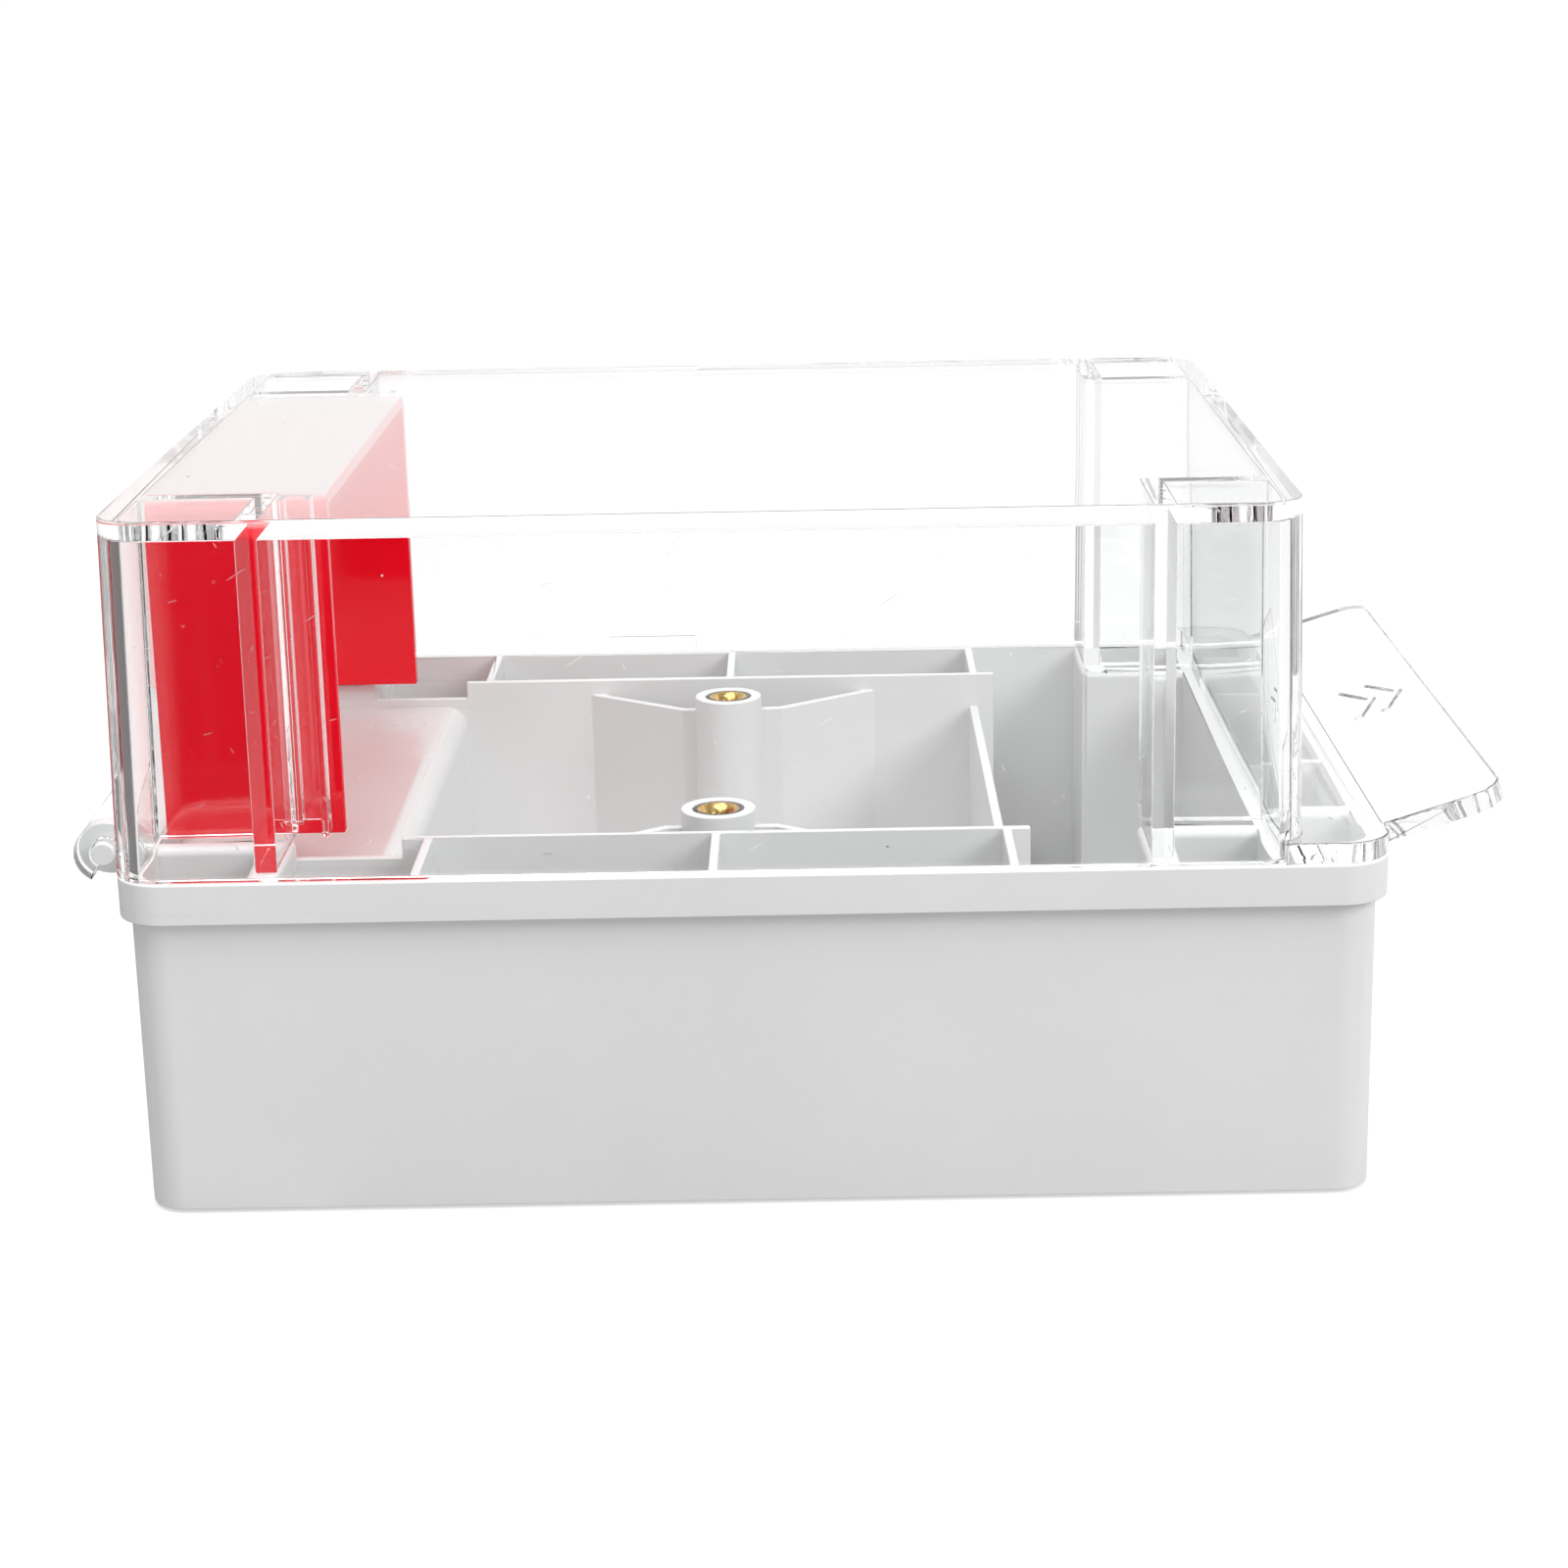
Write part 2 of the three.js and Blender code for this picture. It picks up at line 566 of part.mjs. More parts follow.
function cathodeLead() {
  const start = -BODY.halfLength + SOCKET.reach + GAP;
  const postX = ELECTRODE.leftX - HOLDER.size / 2 - GAP;
  return leadAlong([
    [start, -SOCKET.y, SOCKET.z],
    [LEAD.bayX, -SOCKET.y, SOCKET.z],
    [LEAD.bayX, -SOCKET.y, LEAD.z],
    [postX - LEAD_TAIL.cathode, -SOCKET.y, LEAD.z],
    [postX - LEAD_TAIL.cathode, -ELECTRODE.leftReach, LEAD.z],
    [postX, -ELECTRODE.leftReach, LEAD.z],
  ]);
}

// ---------------------------------------------------------------- materials and assembly
function finish(color, roughness, metalness = 0, opacity = 1) {
  return new THREE.MeshStandardMaterial({ color, roughness, metalness, opacity, transparent: opacity < 1 });
}

const whitePlastic = finish(0xdcdcdc, 0.35);
const clearPlastic = finish(0xf4f8fa, 0.05, 0, 0.3);
const redPlastic = finish(0xe10023, 0.15);
const blackPlastic = finish(0x161616, 0.4);
const brass = finish(0xb98a3a, 0.3, 1);
const steel = finish(0xb8bcc0, 0.3, 1);
const platinum = finish(0xd8d8d6, 0.25, 1);
const rubber = finish(0x2a2a2a, 0.85);

const tank = new THREE.Group();

function addPiece(name, solid, material) {
  const mesh = new THREE.Mesh(toGeometry(solid), material);
  mesh.name = name;
  tank.add(mesh);
}

addPiece("tank_base", baseMoulding(), whitePlastic);
addPiece("lid", lid(), clearPlastic);
addPiece("red_shield", redShield(), redPlastic);
addPiece("bay_cover", bayCover(), whitePlastic);

for (const [side, where] of [[-1, "front"], [1, "rear"]]) {
  addPiece(`shield_rail_${where}`, shieldRail(side), clearPlastic);
  addPiece(`brass_insert_${where}`, brassInsert(side), brass);
  addPiece(`hinge_pin_${where}`, hingePin(side), whitePlastic);
  addPiece(`foot_left_${where}`, rubberFoot(-1, side), rubber);
  addPiece(`foot_right_${where}`, rubberFoot(1, side), rubber);
  const { leftX, rightX, leftReach, rightReach } = ELECTRODE;
  addPiece(`cathode_holder_${where}`, wireHolder(leftX, side * leftReach), whitePlastic);
  addPiece(`anode_holder_${where}`, wireHolder(rightX, side * rightReach), whitePlastic);
}

COVER_POSTS.forEach((at, i) => addPiece(`cover_screw_${i + 1}`, coverScrew(at), steel));

addPiece("socket_cathode", panelSocket(-1), blackPlastic);
addPiece("socket_anode", panelSocket(1), redPlastic);
addPiece("socket_nut_cathode", socketNut(-1), steel);
addPiece("socket_nut_anode", socketNut(1), steel);
addPiece("cathode_wire", electrodeWire(ELECTRODE.leftX, ELECTRODE.leftReach + ELECTRODE.past), platinum);
addPiece("anode_wire", electrodeWire(ELECTRODE.rightX, ELECTRODE.rightReach + ELECTRODE.past), platinum);
addPiece("cathode_lead", cathodeLead(), blackPlastic);
addPiece("anode_lead", anodeLead(), redPlastic);

// The origin is in the middle of the whole tank's length, hinge lugs and lifting tab included.
const extent = new THREE.Box3().setFromObject(tank);
tank.position.x = -extent.getCenter(new THREE.Vector3()).x;

export default tank;
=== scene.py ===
"""Gel electrophoresis tank: finished pieces and materials over the CAD frame. Metres, +Z up."""
import math

import bmesh
import bpy
from mathutils import Matrix, Vector

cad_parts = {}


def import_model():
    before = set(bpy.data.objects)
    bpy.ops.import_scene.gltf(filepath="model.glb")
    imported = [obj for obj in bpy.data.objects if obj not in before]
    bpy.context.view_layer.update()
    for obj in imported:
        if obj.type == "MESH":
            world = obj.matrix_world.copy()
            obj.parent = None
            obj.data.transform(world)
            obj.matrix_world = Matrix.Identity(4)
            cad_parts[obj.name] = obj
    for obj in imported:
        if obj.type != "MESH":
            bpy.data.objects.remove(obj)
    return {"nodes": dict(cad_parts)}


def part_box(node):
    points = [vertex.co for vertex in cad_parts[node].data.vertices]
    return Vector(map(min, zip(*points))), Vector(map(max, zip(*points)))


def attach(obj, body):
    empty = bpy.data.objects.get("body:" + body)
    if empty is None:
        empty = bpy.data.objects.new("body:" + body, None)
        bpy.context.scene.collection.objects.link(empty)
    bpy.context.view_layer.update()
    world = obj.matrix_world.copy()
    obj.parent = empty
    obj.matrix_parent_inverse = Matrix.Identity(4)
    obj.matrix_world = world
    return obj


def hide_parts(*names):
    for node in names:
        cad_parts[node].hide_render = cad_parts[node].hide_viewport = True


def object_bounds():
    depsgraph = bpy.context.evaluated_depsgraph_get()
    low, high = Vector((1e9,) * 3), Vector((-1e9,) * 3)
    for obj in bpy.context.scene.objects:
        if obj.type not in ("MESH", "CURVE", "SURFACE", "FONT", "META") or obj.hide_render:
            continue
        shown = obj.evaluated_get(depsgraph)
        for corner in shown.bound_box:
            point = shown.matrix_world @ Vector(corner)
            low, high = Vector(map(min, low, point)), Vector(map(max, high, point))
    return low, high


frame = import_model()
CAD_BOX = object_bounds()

MM = 0.001
NODES = frame["nodes"]
SIDES = ("front", "rear")


# ---------------------------------------------------------------- shader helpers

NOISE_MIDDLE = (0.3, 0.7)  # most of a noise texture lies in this range
MIX_FACTOR, MIX_FIRST, MIX_SECOND, MIX_RESULT = 0, 6, 7, 2  # a Mix node's sockets when it mixes colours


def add(tree, kind, inputs=None, **settings):
    """A new shader or geometry node. A socket given as an input is linked, anything else is set."""
    node = tree.nodes.new(kind)
    for name, value in settings.items():
        setattr(node, name, value)
    for name, value in (inputs or {}).items():
        if isinstance(value, bpy.types.NodeSocket):
            tree.links.new(value, node.inputs[name])
        else:
            node.inputs[name].default_value = value
    return node


def math_node(tree, operation, *values):
    """The output of one Math node. Each value is a socket or a number."""
    return add(tree, "ShaderNodeMath", dict(enumerate(values)), operation=operation).outputs[0]


def between(tree, value, low, high, out_low=0.0, out_high=1.0):
    """value mapped from low..high to out_low..out_high, and held at the ends."""
    ends = {"From Min": low, "From Max": high, "To Min": out_low, "To Max": out_high}
    return add(tree, "ShaderNodeMapRange", {"Value": value, **ends}, clamp=True).outputs["Result"]


def spread(tree, value, out_low=0.0, out_high=1.0):
    """The middle of a noise value mapped to out_low..out_high."""
    return between(tree, value, *NOISE_MIDDLE, out_low, out_high)


def mixed(tree, factor, first, second):
    """The colour between two by a factor from 0 to 1. A colour is a socket or three numbers."""
    inputs = {MIX_FACTOR: factor}
    for place, colour in ((MIX_FIRST, first), (MIX_SECOND, second)):
        inputs[place] = colour if isinstance(colour, bpy.types.NodeSocket) else (*colour, 1)
    return add(tree, "ShaderNodeMix", inputs, data_type="RGBA").outputs[MIX_RESULT]


def noise(tree, place, scale, detail=3.0, rough=0.5):
    """Smooth random values from 0 to 1, in cells per metre."""
    inputs = {"Vector": place, "Scale": scale, "Detail": detail, "Roughness": rough}
    return add(tree, "ShaderNodeTexNoise", inputs).outputs["Fac"]


def bumped(tree, shader, height, distance, strength=1.0):
    """Relief on the shader's normal. height is in steps of distance."""
    node = add(tree, "ShaderNodeBump", {"Height": height, "Distance": distance, "Strength": strength})
    tree.links.new(node.outputs[0], shader.inputs["Normal"])


def plan_distance(tree, axes, x, y):
    """The distance, seen from above, to the nearer of the points (x, y) and (x, -y)."""
    across = math_node(tree, "SUBTRACT", axes.outputs["X"], x)
    along = math_node(tree, "SUBTRACT", math_node(tree, "ABSOLUTE", axes.outputs["Y"]), y)
    span = add(tree, "ShaderNodeCombineXYZ", {"X": across, "Y": along})
    return add(tree, "ShaderNodeVectorMath", {0: span.outputs[0]}, operation="LENGTH").outputs["Value"]


def stretched(tree, position, turn, scale):
    """position turned by angles in degrees, then scaled, for a texture that runs one way."""
    angles = [math.radians(a) for a in turn]
    turned_place = add(tree, "ShaderNodeMapping", {"Vector": position, "Rotation": angles}).outputs[0]
    return add(tree, "ShaderNodeMapping", {"Vector": turned_place, "Scale": scale}).outputs[0]


def mask_group(name, inputs):
    """A shader group that reads a position and puts out a mask, with its input and output nodes."""
    group = bpy.data.node_groups.new(name, "ShaderNodeTree")
    group.interface.new_socket("Position", in_out="INPUT", socket_type="NodeSocketVector")
    for label, value in inputs.items():
        socket = group.interface.new_socket(label, in_out="INPUT", socket_type="NodeSocketFloat")
        socket.default_value = value
    group.interface.new_socket("Mask", in_out="OUTPUT", socket_type="NodeSocketFloat")
    return group, add(group, "NodeGroupInput"), add(group, "NodeGroupOutput")


def specks_group():
    """Scattered specks: most cells have none, and no two are the same size."""
    group, given, out = mask_group("specks", {"Cells per metre": 60.0, "Share": 0.2, "Size": 0.03})
    inputs = {"Vector": given.outputs["Position"], "Scale": given.outputs["Cells per metre"]}
    cells = add(group, "ShaderNodeTexVoronoi", inputs)
    parts = add(group, "ShaderNodeSeparateColor", {"Color": cells.outputs["Color"]})
    chosen = math_node(group, "LESS_THAN", parts.outputs["Red"], given.outputs["Share"])
    radius = math_node(group, "MULTIPLY", parts.outputs["Green"], given.outputs["Size"])
    inside = math_node(group, "LESS_THAN", cells.outputs["Distance"], radius)
    group.links.new(math_node(group, "MULTIPLY", chosen, inside), out.inputs["Mask"])
    return group


# Each run of scratches: how far it is turned, in degrees, and its cells per metre along each axis.
SCRATCH_RUNS = [
    ((12, 34, 71), (9.0, 420.0, 60.0)),
    ((-48, 15, -24), (14.0, 520.0, 80.0)),
    ((76, -31, 18), (11.0, 460.0, 70.0)),
]


def scratches_group():
    """Short fine scratches that run three ways: specks in a stretched space."""
    group, given, out = mask_group("scratches", {"Share": 0.35, "Width": 0.1})
    total = None
    for turn, scale in SCRATCH_RUNS:
        place = stretched(group, given.outputs["Position"], turn, scale)
        cells = add(group, "ShaderNodeTexVoronoi", {"Vector": place, "Scale": 1.0})
        parts = add(group, "ShaderNodeSeparateColor", {"Color": cells.outputs["Color"]})
        chosen = math_node(group, "LESS_THAN", parts.outputs["Blue"], given.outputs["Share"])
        inside = math_node(group, "LESS_THAN", cells.outputs["Distance"], given.outputs["Width"])
        run = math_node(group, "MULTIPLY", chosen, inside)
        total = run if total is None else math_node(group, "MAXIMUM", total, run)
    group.links.new(total, out.inputs["Mask"])
    return group


SPECKS = specks_group()
SCRATCHES = scratches_group()


def grouped(tree, group, position, **values):
    """The mask of a shader group in a material. An underscore stands for a space in an input's name."""
    node = add(tree, "ShaderNodeGroup", node_tree=group)
    tree.links.new(position, node.inputs["Position"])
    for label, value in values.items():
        node.inputs[label.replace("_", " ")].default_value = value
    return node.outputs["Mask"]


def material(name):
    """A new material with its tree, its Principled shader and object coordinates."""
    made = bpy.data.materials.new(name)
    made.use_nodes = True
    tree = made.node_tree
    shader = tree.nodes["Principled BSDF"]
    place = add(tree, "ShaderNodeTexCoord").outputs["Object"]
    return made, tree, shader, place


# ---------------------------------------------------------------- materials

STYRENE_IOR = 1.52
ACRYLIC_IOR = 1.49

LEDGE = {"top": 64 * MM, "band": 0.5 * MM, "right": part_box("bay_cover")[1][0], "past_right": 6 * MM}
# A ring left by a round ejector pin on the ledge, once towards the front and once towards the rear.
EJECTOR = {"x": LEDGE["right"] - 10 * MM, "y": 47 * MM, "radius": 6 * MM, "line": (0.1 * MM, 0.3 * MM)}
WHITE_LOOK = {
    "dark": (0.79, 0.79, 0.79),
    "light": (0.83, 0.83, 0.832),
    "speck": (0.18, 0.17, 0.16),
    "speck_strength": 0.6,
    "satin": (0.34, 0.46),
    "polish": -0.16,
    "grain": 2600.0,
    "relief": 0.03 * MM,
    "ring_depth": -4.0,
}


def white_plastic():
    """Light grey moulded plastic: faint flow clouding, a fine spark-eroded grain and a few specks.
    The ledge over the dry bay is polished, so it mirrors what stands over it."""
    made, tree, shader, place = material("white_plastic")
    look = WHITE_LOOK
    tone = mixed(tree, spread(tree, noise(tree, place, 14.0, 4.0, 0.55)), look["dark"], look["light"])
    speck = grouped(tree, SPECKS, place, Cells_per_metre=42.0, Share=0.16, Size=0.03)
    faint_speck = math_node(tree, "MULTIPLY", speck, look["speck_strength"])
    tree.links.new(mixed(tree, faint_speck, tone, look["speck"]), shader.inputs["Base Color"])
    axes = add(tree, "ShaderNodeSeparateXYZ", {"Vector": place})
    near_bay = math_node(tree, "LESS_THAN", axes.outputs["X"], LEDGE["right"] + LEDGE["past_right"])
    over = math_node(tree, "GREATER_THAN", axes.outputs["Z"], LEDGE["top"] - LEDGE["band"])
    under = math_node(tree, "LESS_THAN", axes.outputs["Z"], LEDGE["top"] + LEDGE["band"])
    ledge = math_node(tree, "MULTIPLY", near_bay, math_node(tree, "MULTIPLY", over, under))
    satin = between(tree, noise(tree, place, 60.0), 0.2, 0.8, *look["satin"])
    rough = math_node(tree, "MULTIPLY_ADD", ledge, look["polish"], satin)
    tree.links.new(rough, shader.inputs["Roughness"])
    shader.inputs["IOR"].default_value = STYRENE_IOR
    reach = plan_distance(tree, axes, EJECTOR["x"], EJECTOR["y"])
    off_ring = math_node(tree, "ABSOLUTE", math_node(tree, "SUBTRACT", reach, EJECTOR["radius"]))
    ring = math_node(tree, "MULTIPLY", between(tree, off_ring, *EJECTOR["line"], 1.0, 0.0), ledge)
    grain = noise(tree, place, look["grain"], 2.0)
    height = math_node(tree, "MULTIPLY_ADD", ring, look["ring_depth"], grain)
    bumped(tree, shader, height, look["relief"], 0.5)
    return made


CLEAR_LOOK = {
    "colour": (0.985, 0.99, 0.99, 1),
    "passed": (0.99, 0.995, 0.995, 1),
    "wiped": (0.004, 0.03),
    "mark_roughness": 0.8,
    "relief": 0.05 * MM,
}


def clear_plastic():
    """Polished clear acrylic, rubbed by cleaning: fine scratches and dust that scatter the light.
    Shadow and diffuse rays pass straight through, so the lid doesn't darken what it covers."""
    made, tree, shader, place = material("clear_plastic")
    look = CLEAR_LOOK
    shader.inputs["Base Color"].default_value = look["colour"]
    shader.inputs["IOR"].default_value = ACRYLIC_IOR
    shader.inputs["Transmission Weight"].default_value = 1.0
    scratch = grouped(tree, SCRATCHES, place, Share=0.5, Width=0.04)
    dust = grouped(tree, SPECKS, place, Cells_per_metre=160.0, Share=0.1, Size=0.06)
    marks = math_node(tree, "MAXIMUM", scratch, dust)
    wiped = between(tree, noise(tree, place, 25.0), 0.45, 0.75, *look["wiped"])
    rough = math_node(tree, "MULTIPLY_ADD", marks, look["mark_roughness"], wiped)
    tree.links.new(rough, shader.inputs["Roughness"])
    bumped(tree, shader, marks, look["relief"], 1.0)
    clear = add(tree, "ShaderNodeBsdfTransparent", {"Color": look["passed"]})
    rays = add(tree, "ShaderNodeLightPath").outputs
    passing = math_node(tree, "MAXIMUM", rays["Is Shadow Ray"], rays["Is Diffuse Ray"])
    blend = add(tree, "ShaderNodeMixShader", {0: passing, 1: shader.outputs[0], 2: clear.outputs[0]})
    tree.links.new(blend.outputs[0], tree.nodes["Material Output"].inputs["Surface"])
    return made


RED_LOOK = {
    "dark": (0.91, 0.0, 0.012),
    "light": (0.97, 0.001, 0.018),
    # painted reflection: the pale grey mixed onto faces that look up, and how strongly
    "painted_glare": (0.5, 0.5, 0.505),
    "painted_glare_strength": 0.86,
    "upward": (0.6, 0.95),
    "scuff": (0.95, 0.5, 0.5),
    "scuff_strength": 0.4,
    "scratch_roughness": 0.4,
    "relief": 0.02 * MM,
}


def red_acrylic():
    """Deep red acrylic sheet under a polished skin, with fine scratches and flecks of dust.
    The face that looks up is mixed towards pale grey: a painted reflection."""
    made, tree, shader, place = material("red_acrylic")
    look = RED_LOOK
    tone = mixed(tree, spread(tree, noise(tree, place, 18.0)), look["dark"], look["light"])
    facing = add(tree, "ShaderNodeTexCoord").outputs["Normal"]
    upward = add(tree, "ShaderNodeSeparateXYZ", {"Vector": facing}).outputs["Z"]
    # painted reflection: faces that look up are mixed towards pale grey, standing in for light mirrored
    # onto them
    painted_glare = math_node(tree, "MULTIPLY", between(tree, upward, *look["upward"]), look["painted_glare_strength"])
    with_painted_glare = mixed(tree, painted_glare, tone, look["painted_glare"])
    scratch = grouped(tree, SCRATCHES, place, Share=0.7, Width=0.035)
    fleck = grouped(tree, SPECKS, place, Cells_per_metre=150.0, Share=0.3, Size=0.05)
    marks = math_node(tree, "MAXIMUM", scratch, fleck)
    worn = math_node(tree, "MULTIPLY", marks, look["scuff_strength"])
    tree.links.new(mixed(tree, worn, with_painted_glare, look["scuff"]), shader.inputs["Base Color"])
    polish = spread(tree, noise(tree, place, 40.0), 0.05, 0.12)
    rough = math_node(tree, "MULTIPLY_ADD", scratch, look["scratch_roughness"], polish)
    tree.links.new(rough, shader.inputs["Roughness"])
    shader.inputs["IOR"].default_value = ACRYLIC_IOR
    shader.inputs["Sheen Weight"].default_value = 0.1
    shader.inputs["Sheen Roughness"].default_value = 0.25
    bumped(tree, shader, scratch, look["relief"], 0.4)
    return made


def satin_plastic(name, dark, light):
    """Coloured satin plastic of the sockets and leads."""
    made, tree, shader, place = material(name)
    tone = mixed(tree, spread(tree, noise(tree, place, 120.0)), dark, light)
    tree.links.new(tone, shader.inputs["Base Color"])
    tree.links.new(spread(tree, noise(tree, place, 300.0), 0.32, 0.45), shader.inputs["Roughness"])
    bumped(tree, shader, noise(tree, place, 4000.0), 0.02 * MM, 0.5)
    return made


def metal(name, dark, light, roughness, tool_marks):
    """Machined metal: faint staining, and fine tool marks across the axis, tool_marks to a metre."""
    made, tree, shader, place = material(name)
    tone = mixed(tree, spread(tree, noise(tree, place, 500.0)), dark, light)
    tree.links.new(tone, shader.inputs["Base Color"])
    shader.inputs["Metallic"].default_value = 1.0
    tree.links.new(spread(tree, noise(tree, place, 900.0), *roughness), shader.inputs["Roughness"])
    marks = noise(tree, stretched(tree, place, (0, 0, 0), (200.0, 200.0, tool_marks)), 1.0, 2.0)
    bumped(tree, shader, marks, 0.02 * MM, 0.4)
    return made


def foot_rubber():
    """Dark grey rubber with a powdery bloom."""
    made, tree, shader, place = material("foot_rubber")
    bloom = noise(tree, place, 350.0, 5.0, 0.7)
    tone = mixed(tree, between(tree, bloom, 0.35, 0.7), (0.03, 0.03, 0.032), (0.07, 0.07, 0.07))
    tree.links.new(tone, shader.inputs["Base Color"])
    tree.links.new(spread(tree, bloom, 0.6, 0.85), shader.inputs["Roughness"])
    bumped(tree, shader, bloom, 0.05 * MM, 0.6)
    return made


WHITE = white_plastic()
CLEAR = clear_plastic()
RED_SHEET = red_acrylic()
BLACK = satin_plastic("black_plastic", (0.012, 0.012, 0.013), (0.025, 0.025, 0.026))
RED = satin_plastic("red_plastic", (0.5, 0.008, 0.008), (0.62, 0.014, 0.012))
STEEL = metal("steel", (0.5, 0.5, 0.5), (0.65, 0.65, 0.66), (0.25, 0.4), 1500.0)
PLATINUM = metal("platinum", (0.6, 0.59, 0.57), (0.75, 0.74, 0.72), (0.15, 0.25), 900.0)
RUBBER = foot_rubber()


# ---------------------------------------------------------------- making pieces

COINCIDENT = 0.002 * MM  # points closer than this are one
FLAT_ANGLE = math.radians(0.6)  # facets that turn less than this are one face
CURVE_ANGLE = math.radians(28)  # edges that turn more than this are edges, not steps of a curve
ROUNDING_STEPS = 2


def in_scene(name, data):
    """A new object in the scene."""
    made = bpy.data.objects.new(name, data)
    bpy.context.scene.collection.objects.link(made)
    return made


def evaluated_mesh(source):
    """An object's shape after its modifiers, as a new mesh."""
    bpy.context.view_layer.update()
    evaluated = source.evaluated_get(bpy.context.evaluated_depsgraph_get())
    return bpy.data.meshes.new_from_object(evaluated)


def smooth_all(mesh):
    mesh.polygons.foreach_set("use_smooth", [True] * len(mesh.polygons))


def plain_mesh(source, name, mesh_material, body):
    """The shape of a working object as a plain mesh piece on a body. The working object goes."""
    mesh = evaluated_mesh(source)
    piece = in_scene(name, mesh)
    mesh.name = name
    if mesh_material is not None:
        mesh.materials.clear()
        mesh.materials.append(mesh_material)
    bpy.data.objects.remove(source)
    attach(piece, body)
    return piece


def round_edges(working, edge):
    """Rounds an object's edges to a width in millimetres, and keeps its flat faces flat."""
    rounding = working.modifiers.new("rounded edges", "BEVEL")
    rounding.width = edge * MM
    rounding.segments = ROUNDING_STEPS
    rounding.limit_method = "ANGLE"
    rounding.angle_limit = CURVE_ANGLE
    rounding.use_clamp_overlap = False
    rounding.miter_outer = "MITER_ARC"
    flats = working.modifiers.new("flat faces stay flat", "WEIGHTED_NORMAL")
    flats.mode = "FACE_AREA"
    flats.weight = 100


def finished_copy(node, name, mesh_material, body, edge=0.3):
    """A copy of a CAD node, with its facets joined into faces and its edges rounded, that stands for it."""
    mesh = NODES[node].data.copy()
    shape = bmesh.new()
    shape.from_mesh(mesh)
    bmesh.ops.remove_doubles(shape, verts=shape.verts, dist=COINCIDENT)
    bmesh.ops.dissolve_limit(
        shape, angle_limit=FLAT_ANGLE, verts=shape.verts, edges=shape.edges, use_dissolve_boundaries=False
    )
    bmesh.ops.connect_verts_concave(shape, faces=shape.faces)
    bmesh.ops.recalc_face_normals(shape, faces=shape.faces)
    shape.to_mesh(mesh)
    shape.free()
    smooth_all(mesh)
    working = in_scene(name + "_working", mesh)
    if edge:
        round_edges(working, edge)
    else:
        mesh.set_sharp_from_angle(angle=CURVE_ANGLE)
    low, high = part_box(node)
    piece = plain_mesh(working, name, mesh_material, body)
    # A rounding that overshoots in a tight corner is drawn back to the node's own box.
    for vertex in piece.data.vertices:
        vertex.co = [min(max(value, least), most) for value, least, most in zip(vertex.co, low, high)]
    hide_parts(node)
    return piece


# ---------------------------------------------------------------- finished copies of the mouldings

finished_copy("tank_base", "base_moulding", WHITE, "base", 0.25)
finished_copy("lid", "clear_lid", CLEAR, "lid")
finished_copy("red_shield", "shield_sheet", RED_SHEET, "lid", 0.25)
for side in SIDES:
    finished_copy(f"shield_rail_{side}", f"shield_channel_{side}", CLEAR, "lid", 0.2)
    finished_copy(f"hinge_pin_{side}", f"pin_{side}", WHITE, "base")
    finished_copy(f"foot_left_{side}", f"rubber_pad_left_{side}", RUBBER, "base")
    finished_copy(f"foot_right_{side}", f"rubber_pad_right_{side}", RUBBER, "base")
    finished_copy(f"cathode_holder_{side}", f"wire_post_cathode_{side}", WHITE, "base", 0.4)
    finished_copy(f"anode_holder_{side}", f"wire_post_anode_{side}", WHITE, "base", 0.4)
finished_copy("bay_cover", "bay_lid", WHITE, "base")
for pole, plastic, slot in (("cathode", BLACK, "black_plastic"), ("anode", RED, "red_plastic")):
    finished_copy(f"socket_{pole}", f"panel_socket_{pole}", plastic, "base")
    finished_copy(f"socket_nut_{pole}", f"hex_nut_{pole}", STEEL, "base", 0.25)
    finished_copy(f"{pole}_wire", f"electrode_{pole}", PLATINUM, "base", 0)
    finished_copy(f"{pole}_lead", f"insulated_lead_{pole}", plastic, "base", 0)


# ---------------------------------------------------------------- geometry nodes and turned shapes


def geometry_group(name, sockets):
    """A geometry nodes group with named inputs, and its input node. Every group also takes a material."""
    group = bpy.data.node_groups.new(name, "GeometryNodeTree")
    for label, kind in {**sockets, "Material": "NodeSocketMaterial"}.items():
        group.interface.new_socket(label, in_out="INPUT", socket_type=kind)
    group.interface.new_socket("Geometry", in_out="OUTPUT", socket_type="NodeSocketGeometry")
    return group, add(group, "NodeGroupInput").outputs


def end_group(group, given, geometry):
    """Ends a geometry nodes group: its instances made real, and its material on all of it."""
    whole = add(group, "GeometryNodeRealizeInstances", {"Geometry": geometry})
    inputs = {"Geometry": whole.outputs[0], "Material": given["Material"]}
    finish = add(group, "GeometryNodeSetMaterial", inputs)
    out = add(group, "NodeGroupOutput")
    group.links.new(finish.outputs[0], out.inputs[0])
    return group


def generated(group, name, body, values):
    """A plain mesh piece made by a geometry nodes group with these inputs."""
    holder = in_scene(name + "_working", bpy.data.meshes.new(name + "_working"))
    maker = holder.modifiers.new("maker", "NODES")
    maker.node_group = group
    for item in group.interface.items_tree:
        if item.in_out == "INPUT" and item.name in values:
            maker[item.identifier] = values[item.name]
    return plain_mesh(holder, name, None, body)


